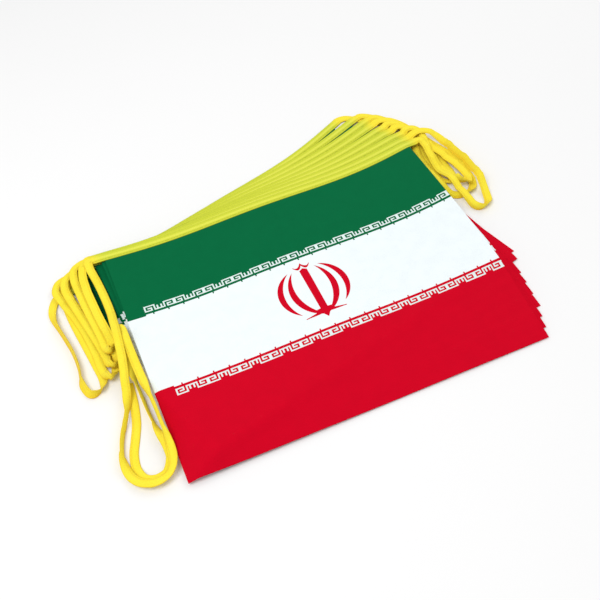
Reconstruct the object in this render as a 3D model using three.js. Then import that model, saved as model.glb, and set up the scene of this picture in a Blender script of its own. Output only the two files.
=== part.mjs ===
// A flag bunting folded up for storage: nine printed flags in an uneven, fanned-out pile, sewn to one
// long folded tape whose free lengths between the flags hang out as loops on both sides of the pile.
//
// Millimetres, +Z up, on a flat surface at z = 0. The pile is laid out with the top flag's lower left
// corner near x = 0, y = 0 and its tape along +X, and the whole group is then moved so that the middle
// of its box's underside is the origin.
import * as THREE from 'three';

// ---- Sizes ----
const FLAG_WIDTH = 280; // along the tape; from the tape's outer edge down to the hem it is about 218
const TAPE_WIDTH = 8; // the ribbon folded in half lengthways
const FREE_WIDTH = 6.6; // where it is free its edges curl, which makes it narrower
const NARROWING = 14; // length over which it gets narrower, from a flag's end
const CLOTH = 1; // thickness of the flags' and the tape's solids
const GAP = 0.3; // clear space between one piece and the next
const LAYER = CLOTH + GAP + 0.08; // rise from one layer of the pile to the next
const SIDE_BULGE = 2.5; // how far a flag's right edge bows outwards

// ---- Colours ----
const COLOURS = { flag: 0xe9eef0, tape: 0xffde20 };
const CLOTH_ROUGHNESS = 0.85;

// ---- The flags, from the bottom of the pile to the top ----
// tapeEnd and hemEnd are the right ends of a flag's tape edge and hem; tapeTurn and hemTurn are the
// angles in degrees by which the two edges are turned about them, anticlockwise seen from above.
const FLAGS = [
  { tapeEnd: [233, 284], tapeTurn: 16.4, hemEnd: [302, 78.5], hemTurn: 12.5 },
  { tapeEnd: [249, 279], tapeTurn: 13.5, hemEnd: [299.5, 70], hemTurn: 11.1 },
  { tapeEnd: [257.5, 270.5], tapeTurn: 11, hemEnd: [295, 57.5], hemTurn: 9 },
  { tapeEnd: [257, 261], tapeTurn: 9, hemEnd: [293.5, 47.5], hemTurn: 7.3 },
  { tapeEnd: [264, 253], tapeTurn: 7.2, hemEnd: [292, 36], hemTurn: 5.3 },
  { tapeEnd: [268, 245], tapeTurn: 5.2, hemEnd: [290.5, 24], hemTurn: 3.3 },
  { tapeEnd: [275, 237], tapeTurn: 3.3, hemEnd: [286, 15], hemTurn: 1.8 },
  { tapeEnd: [276, 228], tapeTurn: 1.5, hemEnd: [283, 5.5], hemTurn: 0.3 },
  { tapeEnd: [279.5, 221], tapeTurn: 0.7, hemEnd: [279.5, -3], hemTurn: -1 },
];

// Where a flag's cloth is divided: distances along its width from the left, and from its hem upwards.
// The divisions are close where the cloth comes down over the edges of the flags below.
const ACROSS = [0, 6, 12, 18, 26, 36, 90, 150, 205, 240, 251, 261, 271, FLAG_WIDTH];
const UPWARDS = [0, 4, 8, 12, 16, 22, 32, 60, 105, 150, 190, 201];
const UPWARDS_ON_THE_FLOOR = [0, 105, 201];
// The tape goes straight on by LEAD past both ends of a flag.
const LEAD = 7;
const ALONG = [-LEAD, ...ACROSS, FLAG_WIDTH + LEAD];

// ---- The tape's free lengths, as seen from above ----
// Each row is the run from the end of one flag's tape to the next flag's, or to a loose end. It is laid
// down after the flag in `after`, and `via` lists the places that it passes. `tips` are the places in `via`
// where it doubles back, and `stand` is the most, in degrees, that it rolls up onto its edge in its bends.
// Each row of `onEdge` is a first place in `via`, a last one, and how far it is rolled up between them.
const RUNS = [
  { from: 1, to: null, side: 'right', after: 1, tips: [], stand: 25, onEdge: [],
    via: [[250, 284.5], [258, 279], [266, 272], [275, 265], [285, 256], [294, 243], [301, 228], [307, 212],
      [313, 196], [315, 180], [313, 165]] },
  { from: 1, to: 2, side: 'left', after: 2, tips: [8], stand: 85,
    onEdge: [[1, 6, 70]],
    via: [[-49, 196], [-53, 187], [-53, 174], [-50, 158], [-47, 142], [-46, 126], [-47, 108], [-43, 98.5],
      [-36, 98.5], [-32.5, 106], [-34, 124], [-37, 146], [-40, 168], [-41.5, 186], [-41.5, 198],
      [-38, 206]] },
  { from: 2, to: 3, side: 'right', after: 3, tips: [9], stand: 30, onEdge: [],
    via: [[264, 279.5], [271, 275], [278, 267], [286, 257], [293, 245], [298, 232], [301, 215], [302, 186],
      [301, 175], [295.5, 168.5], [290, 175], [290, 190], [291, 204], [292, 220], [291, 238], [287, 252],
      [281, 263], [274, 270.5]] },
  { from: 3, to: 4, side: 'left', after: 4, tips: [8], stand: 80, onEdge: [],
    via: [[-33, 213.5], [-42, 211], [-46, 203], [-43, 190], [-38, 173], [-34, 155], [-31.5, 135],
      [-30, 113], [-25.5, 103], [-21, 113], [-21, 130], [-25, 147], [-30, 165], [-35, 183], [-37.5, 200],
      [-34.5, 211]] },
  { from: 4, to: 5, side: 'right', after: 5, tips: [9], stand: 60, onEdge: [],
    via: [[274, 262], [282, 259], [289, 250], [294, 238], [299, 222], [305, 203], [311, 182], [313, 168],
      [310, 155], [300, 148.5], [290, 153], [286, 168], [285.5, 190], [286.5, 210], [290, 226],
      [291.5, 239], [287.5, 249], [280, 253.7]] },
  { from: 5, to: 6, side: 'left', after: 6, tips: [8], stand: 80, onEdge: [],
    via: [[-29, 213.7], [-36, 208], [-38, 198], [-35, 180], [-31, 160], [-27.5, 142], [-25, 126],
      [-24.5, 117], [-21, 112], [-17.5, 117], [-18, 132], [-22, 150], [-26, 175], [-28, 195], [-28.5, 206],
      [-26, 213]] },
  { from: 6, to: 7, side: 'right', after: 7, tips: [8], stand: 80, onEdge: [],
    via: [[284, 244.5], [291, 239], [296, 227], [300, 210], [306, 192], [310, 175], [309.5, 163],
      [305, 156], [301, 163], [297, 182], [294.5, 200], [297, 217], [298, 228], [294.5, 235.5],
      [289, 236.8]] },
  { from: 7, to: 8, side: 'left', after: 8, tips: [8], stand: 80, onEdge: [],
    via: [[-19, 218], [-26, 214], [-28.5, 204], [-28, 188], [-26.5, 170], [-24.5, 153], [-23, 138],
      [-22.3, 128], [-19.6, 122.5], [-17, 127], [-17.6, 140], [-19.5, 155], [-21, 172], [-22, 190],
      [-21, 203], [-18, 212.5]] },
  { from: 8, to: 9, side: 'right', after: 9, tips: [10], stand: 80,
    onEdge: [[3, 7, 45]],
    via: [[291, 227], [299, 226.5], [305, 222], [311, 212], [315, 199], [317, 186], [317.5, 171],
      [316.5, 157], [315, 144], [312, 133.5], [304.5, 128.5], [298.5, 133], [296.5, 142], [295, 157],
      [293, 176], [292.5, 195], [294, 210], [293, 216.5]] },
  { from: 9, to: null, side: 'left', after: 9, tips: [16, 27, 38], stand: 30,
    onEdge: [[8, 12, 80], [19, 22, 70], [31, 34, 75]],
    via: [[-13, 214], [-14, 206], [-12, 190], [-10.6, 170], [-10.4, 150], [-11, 130], [-13.2, 112],
      [-17, 95], [-20.5, 80], [-24.5, 68], [-30, 58], [-34, 47], [-36, 35], [-35, 24.5], [-30, 16.5],
      [-22, 12], [-13.5, 12], [-7, 16], [-3.6, 24], [-2.8, 36], [-3.2, 50], [-3.6, 65], [-4.5, 80],
      [-5.6, 100], [-6, 118], [-6.2, 131], [-7, 137.5], [-8.8, 139.5], [-10.6, 137.5], [-11.2, 131],
      [-11.2, 118], [-10.8, 102], [-9.6, 84], [-8.9, 66], [-7, 48], [-5, 34], [-5.5, 24], [-11, 16.5],
      [-19, 14.5], [-26, 18], [-29.5, 27], [-28.5, 39], [-24, 51], [-20, 62], [-17.5, 75], [-16.4, 86],
      [-16, 96]] },
];

// ---- How the tape lies ----
const LEVEL_END = 3; // length at each end of a run where it stays level with its flag's tape
const OWN_END = 6; // length at each end of a run where the ground is its own flag's tape
const BEND_FLAT = 15; // the tape lies flat in bends of this radius or more, and stands up in tighter ones
const FLAT_END = 18; // length at each end of a run where it does not roll at all
const FOLD_OVER = 45; // a run that rolls up further than this turns right over where it doubles back
const ROLL_SPREAD = 8; // length over which a turn onto its edge is spread, each way
const CLIMB = 0.45; // steepest rise of the tape over what lies below it
const TAPE_GAP = 0.5; // clear height between one length of tape and what it crosses
const STEP = 9; // spacing of the tape's cross-sections where a run is straight
const TURN = 0.75; // and the angle, in radians, between one and the next in a tight bend
const FOOTPRINT = [-1, -0.75, -0.5, -0.25, 0, 0.25, 0.5, 0.75, 1]; // places across the tape, in half spans
const TRACE_STEP = 1.5; // spacing at which a run's height is worked out

const radians = THREE.MathUtils.degToRad;
const mix = THREE.MathUtils.lerp;

// ---- The outline of a flag ----
function leftEnd([x, y], turn) {
  return [x - FLAG_WIDTH * Math.cos(radians(turn)), y - FLAG_WIDTH * Math.sin(radians(turn))];
}

function corners({ tapeEnd, tapeTurn, hemEnd, hemTurn }) {
  return { tapeLeft: leftEnd(tapeEnd, tapeTurn), tapeRight: tapeEnd,
    hemLeft: leftEnd(hemEnd, hemTurn), hemRight: hemEnd };
}

const OUTLINES = FLAGS.map(corners);

// The tape edge sags towards the flag in the middle and wavers a little.
function sag(u) {
  return 7 * Math.sin(Math.PI * u) + 2 * Math.sin(3 * Math.PI * u) - Math.sin(2 * Math.PI * u);
}

// A point of the tape edge, and the direction from there down to the hem.
function tapeEdge(outline, u) {
  const { tapeLeft, tapeRight, hemLeft, hemRight } = outline;
  const hem = [mix(hemLeft[0], hemRight[0], u), mix(hemLeft[1], hemRight[1], u)];
  const chord = [mix(tapeLeft[0], tapeRight[0], u), mix(tapeLeft[1], tapeRight[1], u)];
  const drop = Math.hypot(hem[0] - chord[0], hem[1] - chord[1]);
  const down = [(hem[0] - chord[0]) / drop, (hem[1] - chord[1]) / drop];
  return { edge: [chord[0] + down[0] * sag(u), chord[1] + down[1] * sag(u)], down, hem };
}

// A point of the flag's cloth: u across from the left, v up from the hem to its edge beside the tape.
function clothPoint(outline, u, v) {
  const { edge, down, hem } = tapeEdge(outline, u);
  const inset = TAPE_WIDTH + GAP;
  const top = [edge[0] + down[0] * inset, edge[1] + down[1] * inset];
  const bulge = SIDE_BULGE * u * u * Math.sin(Math.PI * v);
  return [mix(hem[0], top[0], v) + bulge, mix(hem[1], top[1], v)];
}

// ---- The height of each layer ----
const LEDGE = 2; // a flag stays level this far past the edge of the one below it
const COME_DOWN = 10; // and then comes down over this length
const LEFT_SUPPORT = 12; // how far past a flag's left end its tape holds up the layers above
const RIGHT_SUPPORT = 25; // and how far past its right end

// How far a point lies outside a flag's four sides, or less than 0 inside.
function outsideBy({ tapeLeft, tapeRight, hemLeft, hemRight }, x, y) {
  const ring = [hemLeft, hemRight, tapeRight, tapeLeft];
  return Math.max(...ring.map(([ax, ay], i) => {
    const [bx, by] = ring[(i + 1) % ring.length];
    return ((x - ax) * (by - ay) - (y - ay) * (bx - ax)) / Math.hypot(bx - ax, by - ay);
  }));
}

// The tape's free lengths at both ends of the flags also hold up what lies over them.
function support(outline, x, y) {
  const [[leftX, leftY], [rightX, rightY]] = [outline.tapeLeft, outline.tapeRight];
  const wider = {
    ...outline,
    tapeLeft: [leftX - LEFT_SUPPORT, leftY],
    tapeRight: [rightX + RIGHT_SUPPORT, rightY],
  };
  const past = outsideBy(wider, x, y) - LEDGE;
  return (1 + Math.cos(Math.PI * THREE.MathUtils.clamp(past / COME_DOWN, 0, 1))) / 2;
}

// The underside of the layer that lies on the first `count` flags.
function layerHeight(count, x, y) {
  return LAYER * OUTLINES.slice(0, count).reduce((sum, outline) => sum + support(outline, x, y), 0);
}

// ---- The layers of the pile ----
// A layer is a flag's cloth and its stretch of tape, each as rows of points on its underside: the cloth
// from the hem up, and the tape's inner and outer edge.
function flatLayer(index) {
  const outline = OUTLINES[index];
  const row = (stations, pointAt) => stations.map((run) => {
    const [x, y] = pointAt(run / FLAG_WIDTH);
    return { x, y, z: layerHeight(index, x, y) };
  });
  const upwards = index === 0 ? UPWARDS_ON_THE_FLOOR : UPWARDS;
  return {
    cloth: upwards.map((rise) => row(ACROSS, (u) => clothPoint(outline, u, rise / UPWARDS.at(-1)))),
    tape: [TAPE_WIDTH, 0].map((inset) => row(ALONG, (u) => {
      const { edge, down } = tapeEdge(outline, u);
      return [edge[0] + down[0] * inset, edge[1] + down[1] * inset];
    })),
  };
}

const pointsOf = ({ cloth, tape }) => [...cloth, ...tape].flat();

function trianglesOf({ cloth, tape }) {
  const list = [];
  for (const rows of [cloth, tape]) {
    for (let r = 0; r < rows.length - 1; r += 1) {
      for (let c = 0; c < rows[r].length - 1; c += 1) {
        const [a, b, d, e] = [rows[r][c], rows[r][c + 1], rows[r + 1][c], rows[r + 1][c + 1]];
        list.push([a, b, e], [a, e, d]);
      }
    }
  }
  return list;
}

// The triangle of a layer under or over a place, and the height of the layer there.
function findTriangle(list, x, y) {
  for (const [a, b, c] of list) {
    const area = (b.x - a.x) * (c.y - a.y) - (b.y - a.y) * (c.x - a.x);
    const s = ((x - a.x) * (c.y - a.y) - (y - a.y) * (c.x - a.x)) / area;
    const t = ((b.x - a.x) * (y - a.y) - (b.y - a.y) * (x - a.x)) / area;
    if (s >= 0 && t >= 0 && s + t <= 1) {
      return { points: [a, b, c], z: a.z + s * (b.z - a.z) + t * (c.z - a.z) };
    }
  }
  return null;
}

// Lifts the upper layer wherever its facets or those of the lower layer would come closer than LAYER.
function rest(upper, lower) {
  const [above, below] = [trianglesOf(upper), trianglesOf(lower)];
  for (const point of pointsOf(upper)) {
    const under = findTriangle(below, point.x, point.y);
    if (under) point.z = Math.max(point.z, under.z + LAYER);
  }
  const tested = pointsOf(lower);
  for (const [a, b, c] of below) {
    for (const [p, q] of [[a, b], [b, c], [c, a]]) {
      tested.push({ x: (p.x + q.x) / 2, y: (p.y + q.y) / 2, z: (p.z + q.z) / 2 });
    }
  }
  for (const point of tested) {
    const over = findTriangle(above, point.x, point.y);
    const short = over ? point.z + LAYER - over.z : 0;
    if (short > 0) over.points.forEach((corner) => { corner.z += short; });
  }
}

const LAYERS = [];
FLAGS.forEach((_, index) => {
  const layer = flatLayer(index);
  LAYERS.forEach((lower) => rest(layer, lower));
  LAYERS.push(layer);
});

// ---- Meshes ----
function geometry(points, faces) {
  const shape = new THREE.BufferGeometry();
  shape.setAttribute('position', new THREE.Float32BufferAttribute(points.flat(), 3));
  shape.setIndex(faces.flat());
  shape.computeVertexNormals();
  return shape;
}

function meshOf(name, shape, colour) {
  const look = { color: colour, roughness: CLOTH_ROUGHNESS, metalness: 0 };
  const material = new THREE.MeshStandardMaterial(look);
  const mesh = new THREE.Mesh(shape, material);
  mesh.name = name;
  return mesh;
}

// A sheet of cloth: a grid of points, its copy one cloth thickness higher, and the four edges.
function flagGeometry(grid) {
  const under = grid.flat().map(({ x, y, z }) => [x, y, z]);
  const points = [...under, ...under.map(([x, y, z]) => [x, y, z + CLOTH])];
  const [rows, columns, size] = [grid.length, grid[0].length, under.length];
  const faces = [];
  for (let r = 0; r < rows - 1; r += 1) {
    for (let c = 0; c < columns - 1; c += 1) {
      const a = r * columns + c;
      const [b, d, e] = [a + 1, a + columns, a + columns + 1];
      faces.push([a, e, b], [a, d, e]);
      faces.push([a + size, b + size, e + size], [a + size, e + size, d + size]);
    }
  }
  const rim = [];
  for (let c = 0; c < columns - 1; c += 1) rim.push(c);
  for (let r = 0; r < rows - 1; r += 1) rim.push(r * columns + columns - 1);
  for (let c = columns - 1; c > 0; c -= 1) rim.push((rows - 1) * columns + c);
  for (let r = rows - 1; r > 0; r -= 1) rim.push(r * columns);
  rim.forEach((a, i) => {
    const b = rim[(i + 1) % rim.length];
    faces.push([a, b, b + size], [a, b + size, a + size]);
  });
  return geometry(points, faces);
}

// ---- What has been laid down so far, as heights on a fine grid seen from above ----
class Ground {
  constructor() {
    this.cell = 1.5;
    this.low = [-70, -20];
    this.count = [270, 220]; // so that it reaches 335 along X and 310 along Y
    this.heights = new Float32Array(this.count[0] * this.count[1]);
  }

  index(x, y) {
    const column = Math.round((x - this.low[0]) / this.cell);
    const row = Math.round((y - this.low[1]) / this.cell);
    return row * this.count[0] + column;
  }

  at(x, y) {
    return this.heights[this.index(x, y)];
  }

  raise(x, y, height) {
    for (const dx of [-this.cell, 0, this.cell]) {
      for (const dy of [-this.cell, 0, this.cell]) {
        const i = this.index(x + dx, y + dy);
        this.heights[i] = Math.max(this.heights[i], height);
      }
    }
  }

  layFlag(index) {
    const list = trianglesOf(LAYERS[index]);
    for (let row = 0; row < this.count[1]; row += 1) {
      for (let column = 0; column < this.count[0]; column += 1) {
        const x = this.low[0] + column * this.cell;
        const y = this.low[1] + row * this.cell;
        const found = outsideBy(OUTLINES[index], x, y) < 2 * LEAD && findTriangle(list, x, y);
        if (found) this.raise(x, y, found.z + CLOTH);
      }
    }
  }
}

// ---- The tape ----
// Half of the tape's width and height as seen from above and from the side, when it is rolled over.
function halfSpan({ roll, width }) {
  return (width * Math.abs(Math.cos(roll)) + CLOTH * Math.abs(Math.sin(roll))) / 2;
}

function halfRise({ roll, width }) {
  return (width * Math.abs(Math.sin(roll)) + CLOTH * Math.abs(Math.cos(roll))) / 2;
}

// The middle of the tape at one of a flag's stations, and the direction across the tape there.
function tapeOnFlag(number, station) {
  const edges = LAYERS[number - 1].tape.map((row) => row[station]);
  const [inner, outer] = edges.map(({ x, y, z }) => new THREE.Vector3(x, y, z + CLOTH / 2));
  const across = outer.clone().sub(inner).normalize();
  return { middle: inner.lerp(outer, 0.5), across, width: TAPE_WIDTH };
}

// Where a flag's straight tape ends on one side, and a place a little further on in the same direction.
function flagEnd(number, side) {
  const stations = side === 'left' ? [0, 1] : [ALONG.length - 1, ALONG.length - 2];
  const [end, before] = stations.map((station) => tapeOnFlag(number, station).middle);
  return [end, end.clone().lerp(before, -LEVEL_END / LEAD)];
}

// The sharpness of the bend at each point of a route seen from above.
function bends(route) {
  return route.map((point, i) => {
    const [a, b] = [route[Math.max(i - 2, 0)], route[Math.min(i + 2, route.length - 1)]];
    const [ux, uy, vx, vy] = [point.x - a.x, point.y - a.y, b.x - point.x, b.y - point.y];
    const turn = Math.abs(Math.atan2(ux * vy - uy * vx, ux * vx + uy * vy));
    return turn / Math.max((Math.hypot(ux, uy) + Math.hypot(vx, vy)) / 2, TRACE_STEP);
  });
}

// Each value becomes the mean of its neighbours within `reach`.
function smooth(values, reach) {
  const n = Math.round(reach / TRACE_STEP);
  return values.map((_, i) => {
    const near = values.slice(Math.max(i - n, 0), i + n + 1);
    return near.reduce((sum, value) => sum + value, 0) / near.length;
  });
}

// The height of the tape's lowest edge along a route: clear of all that is on the ground, with no climb
// steeper than CLIMB, and level with its flag at each end in `ends`. The part past each of its `turns`,
// where it has doubled back, also clears the part before it.
function footing(route, ends, turns, ground) {
  const last = route.length - 1;
  const awayFrom = (end, i) => (end === 0 ? i : last - i) * TRACE_STEP;
  const nearFlag = (i) => ends.some((height, end) => height !== null && awayFrom(end, i) < OWN_END);
  const covered = (point) => {
    const span = halfSpan(point);
    return FOOTPRINT.map((s) => [point.x + point.nx * span * s, point.y + point.ny * span * s]);
  };
  const needs = (i) => {
    const top = Math.max(...covered(route[i]).map(([x, y]) => ground.at(x, y)));
    return top > 0 && !nearFlag(i) ? top + TAPE_GAP : 0;
  };
  const settle = (clear) => clear.map((_, i) => {
    let foot = Math.max(...clear.map((need, j) => need - CLIMB * TRACE_STEP * Math.abs(i - j)));
    ends.forEach((height, end) => {
      if (height === null) return;
      const free = Math.max(awayFrom(end, i) - LEVEL_END, 0);
      foot = Math.max(Math.min(foot, height + free * 2 * CLIMB), height - free * CLIMB);
    });
    return foot;
  });
  const lay = (feet, from, to) => {
    for (let i = from; i < to; i += 1) {
      const top = feet[i] + 2 * halfRise(route[i]);
      covered(route[i]).forEach(([x, y]) => ground.raise(x, y, top));
    }
  };
  const clear = route.map((_, i) => needs(i));
  const margin = Math.round(TAPE_WIDTH * 1.5 / TRACE_STEP);
  for (const turn of turns) {
    lay(settle(clear), 0, turn - margin);
    for (let i = turn + margin; i <= last; i += 1) clear[i] = Math.max(clear[i], needs(i));
  }
  const feet = settle(clear);
  lay(feet, 0, route.length);
  return feet;
}

// A smooth route through its stops as evenly spaced points, each with the direction across it.
function spacedRoute(stops) {
  const curve = new THREE.CatmullRomCurve3(stops, false, 'centripetal');
  curve.arcLengthDivisions = 20 * stops.length; // fine enough for even steps
  const count = Math.round(curve.getLength() / TRACE_STEP);
  const route = curve.getSpacedPoints(count).map(({ x, y }) => ({ x, y }));
  route.forEach((point, i) => {
    const [a, b] = [route[Math.max(i - 1, 0)], route[Math.min(i + 1, count)]];
    const length = Math.hypot(b.x - a.x, b.y - a.y);
    point.nx = -(b.y - a.y) / length;
    point.ny = (b.x - a.x) / length;
  });
  return route;
}

// How far the tape is rolled up along a route, when its flags are `away` from each point. It stands on its
// edge in tight bends and between the places in `onEdge`, and turns right over where it doubles back.
function rollsOf({ stand, onEdge, via }, route, away, turns) {
  const most = radians(stand);
  const upright = bends(route).map((bend) => Math.min(most, Math.acos(1 / Math.max(BEND_FLAT * bend, 1))));
  for (const [first, final, degrees] of onEdge) {
    const places = [nearest(route, via[first]), nearest(route, via[final])];
    for (let i = Math.min(...places); i < Math.max(...places); i += 1) {
      upright[i] = Math.max(upright[i], radians(degrees));
    }
  }
  const rolls = upright.map((roll, i) => {
    const rolled = roll * THREE.MathUtils.smoothstep(away[i], FLAT_END, 2 * FLAT_END);
    const passed = turns.filter((turn) => turn <= i).length;
    return stand > FOLD_OVER && passed % 2 === 1 ? Math.PI - rolled : rolled;
  });
  return smooth(rolls, ROLL_SPREAD);
}

// One run of the tape, from the flag that it leaves.
function traceRun(run, ground) {
  const { from, to, side, tips, via } = run;
  const [start, beyondStart] = flagEnd(from, side);
  const [end, beyondEnd] = to === null ? [null, null] : flagEnd(to, side);
  const stops = [start, beyondStart, ...via.map(([x, y]) => new THREE.Vector3(x, y, 0))];
  if (end) stops.push(beyondEnd, end);
  const ends = [start.z - CLOTH / 2, end ? end.z - CLOTH / 2 : null];
  // A loose end is laid down from its tip, so that what comes from the flag lies on top.
  if (!end) {
    stops.reverse();
    ends.reverse();
  }
  const route = spacedRoute(stops.map(({ x, y }) => new THREE.Vector3(x, y, 0)));
  const turns = tips.map((tip) => nearest(route, via[tip])).sort((a, b) => a - b);
  const away = route.map((_, i) => {
    const steps = [i, route.length - 1 - i].filter((_far, k) => ends[k] !== null);
    return Math.min(...steps) * TRACE_STEP;
  });
  const rolls = rollsOf(run, route, away, turns);
  route.forEach((point, i) => {
    point.roll = rolls[i];
    point.width = mix(TAPE_WIDTH, FREE_WIDTH, THREE.MathUtils.smoothstep(away[i], 0, NARROWING));
  });
  const feet = footing(route, ends, turns, ground);
  route.forEach((point, i) => { point.z = feet[i] + halfRise(point); });
  return end ? route : route.reverse();
}

function nearest(route, [x, y]) {
  const far = route.map((point) => Math.hypot(point.x - x, point.y - y));
  return far.indexOf(Math.min(...far));
}

// The pieces are laid down in order: a flag, then the run that leaves it at the top of the pile so far.
function layPile() {
  const ground = new Ground();
  const traced = new Map();
  FLAGS.forEach((_, index) => {
    ground.layFlag(index);
    const leaving = RUNS.filter(({ after }) => after === index + 1);
    leaving.forEach((run) => traced.set(run, traceRun(run, ground)));
  });
  return traced;
}

// Cross-sections of the tape: its middle, the direction across it, and its width.
function sectionsOnRun(route) {
  const bend = bends(route);
  const picked = [0];
  let since = 0;
  for (let i = 1; i < route.length - 1; i += 1) {
    since += TRACE_STEP / STEP + (bend[i] * TRACE_STEP) / TURN;
    if (since >= 1) {
      picked.push(i);
      since = 0;
    }
  }
  picked.push(route.length - 1);
  return picked.map((i) => {
    const { x, y, z, nx, ny, roll, width } = route[i];
    const across = new THREE.Vector3(nx * Math.cos(roll), ny * Math.cos(roll), Math.sin(roll));
    return { middle: new THREE.Vector3(x, y, z), across, width };
  });
}

function sectionsOnFlag(number) {
  return ALONG.slice(1, -1).map((_, i) => tapeOnFlag(number, i + 1));
}

// The whole tape from its free end on the right, back and forth along every flag, to its free end on
// the left. `across` keeps turning the same way round, so that the tape never twists back on itself.
function tapeSections() {
  const traced = layPile();
  const find = (from, to) => {
    const row = RUNS.find((run) => run.from === from && run.to === to);
    return sectionsOnRun(traced.get(row));
  };
  const sections = [];
  const add = (list) => {
    for (const section of list) {
      const before = sections.at(-1);
      if (before && before.across.dot(section.across) < 0) section.across.negate();
      sections.push(section);
    }
  };
  add(find(1, null).reverse());
  FLAGS.forEach((_, index) => {
    const number = index + 1;
    const run = sectionsOnFlag(number);
    add(number % 2 === 1 ? run.reverse() : run);
    add(find(number, number < FLAGS.length ? number + 1 : null));
  });
  return sections;
}

function tapeGeometry() {
  const sections = tapeSections();
  const points = [];
  sections.forEach(({ middle, across, width }, i) => {
    const along = sections[Math.min(i + 1, sections.length - 1)].middle.clone()
      .sub(sections[Math.max(i - 1, 0)].middle).normalize();
    const out = across.clone().cross(along).normalize();
    const flat = along.clone().cross(out).normalize();
    for (const [w, t] of [[-1, -1], [1, -1], [1, 1], [-1, 1]]) {
      const corner = middle.clone();
      corner.addScaledVector(flat, (w * width) / 2);
      corner.addScaledVector(out, (t * CLOTH) / 2);
      points.push([corner.x, corner.y, Math.max(corner.z, 0)]);
    }
  });
  const faces = [];
  for (let i = 0; i < sections.length - 1; i += 1) {
    for (let k = 0; k < 4; k += 1) {
      const [a, b] = [4 * i + k, 4 * i + ((k + 1) % 4)];
      faces.push([a, a + 4, b + 4], [a, b + 4, b]);
    }
  }
  const end = 4 * (sections.length - 1);
  faces.push([0, 1, 2], [0, 2, 3], [end, end + 2, end + 1], [end, end + 3, end + 2]);
  return geometry(points, faces);
}

// ---- The bunting ----
const bunting = new THREE.Group();
LAYERS.forEach(({ cloth }, index) => {
  bunting.add(meshOf(`flag_${index + 1}`, flagGeometry(cloth), COLOURS.flag));
});
bunting.add(meshOf('tape', tapeGeometry(), COLOURS.tape));

const box = new THREE.Box3().setFromObject(bunting);
const middle = box.getCenter(new THREE.Vector3());
bunting.position.set(-middle.x, -middle.y, -box.min.z);
bunting.updateMatrixWorld(true);

export default bunting;
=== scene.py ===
import math

import bpy
import numpy as np
from mathutils import Matrix, Vector


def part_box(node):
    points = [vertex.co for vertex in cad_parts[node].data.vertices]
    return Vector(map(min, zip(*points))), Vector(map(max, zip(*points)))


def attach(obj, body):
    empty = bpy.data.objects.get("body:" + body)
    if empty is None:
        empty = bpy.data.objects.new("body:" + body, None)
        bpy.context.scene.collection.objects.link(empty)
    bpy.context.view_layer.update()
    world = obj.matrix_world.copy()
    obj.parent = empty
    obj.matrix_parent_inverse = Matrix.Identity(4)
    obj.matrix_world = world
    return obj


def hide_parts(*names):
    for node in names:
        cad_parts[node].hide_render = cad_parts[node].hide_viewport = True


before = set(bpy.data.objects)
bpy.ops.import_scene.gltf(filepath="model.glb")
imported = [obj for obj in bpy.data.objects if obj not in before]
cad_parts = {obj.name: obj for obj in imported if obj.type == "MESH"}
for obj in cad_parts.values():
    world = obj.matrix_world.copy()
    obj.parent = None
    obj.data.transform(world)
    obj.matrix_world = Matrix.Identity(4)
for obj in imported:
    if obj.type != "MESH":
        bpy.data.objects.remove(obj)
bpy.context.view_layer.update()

# A folded flag bunting: nine printed flags in a fanned-out pile, sewn to one long folded tape. It is laid
# out in millimetres as the solids are, and everything is turned into metres when its mesh is made.
MM = 0.001

# ---- Sizes, as in the solids ----
FLAG_WIDTH = 280  # along the tape
FLAG_HEIGHT = 218  # from the tape's outer edge down to the hem
TAPE_WIDTH = 8  # the ribbon folded in half lengthways
FREE_WIDTH = 6.6  # where it is free its edges curl, which makes it narrower
NARROWING = 14  # length over which it gets narrower, from a flag's end
CLOTH = 1  # thickness of the flags' and the tape's solids
GAP = 0.3  # clear space between one solid and the next
LAYER = CLOTH + GAP + 0.08  # rise from one layer of the pile to the next
SIDE_BULGE = 2.5  # how far a flag's right edge bows outwards
LEAD = 7  # length by which the tape goes straight on past both ends of a flag

# The flags from the bottom of the pile to the top: the right ends of a flag's tape edge and hem, and the
# angles in degrees by which the two edges are turned about them.
FLAGS = [
    dict(tape_end=(233, 284), tape_turn=16.4, hem_end=(302, 78.5), hem_turn=12.5),
    dict(tape_end=(249, 279), tape_turn=13.5, hem_end=(299.5, 70), hem_turn=11.1),
    dict(tape_end=(257.5, 270.5), tape_turn=11, hem_end=(295, 57.5), hem_turn=9),
    dict(tape_end=(257, 261), tape_turn=9, hem_end=(293.5, 47.5), hem_turn=7.3),
    dict(tape_end=(264, 253), tape_turn=7.2, hem_end=(292, 36), hem_turn=5.3),
    dict(tape_end=(268, 245), tape_turn=5.2, hem_end=(290.5, 24), hem_turn=3.3),
    dict(tape_end=(275, 237), tape_turn=3.3, hem_end=(286, 15), hem_turn=1.8),
    dict(tape_end=(276, 228), tape_turn=1.5, hem_end=(283, 5.5), hem_turn=0.3),
    dict(tape_end=(279.5, 221), tape_turn=0.7, hem_end=(279.5, -3), hem_turn=-1),
]

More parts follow.
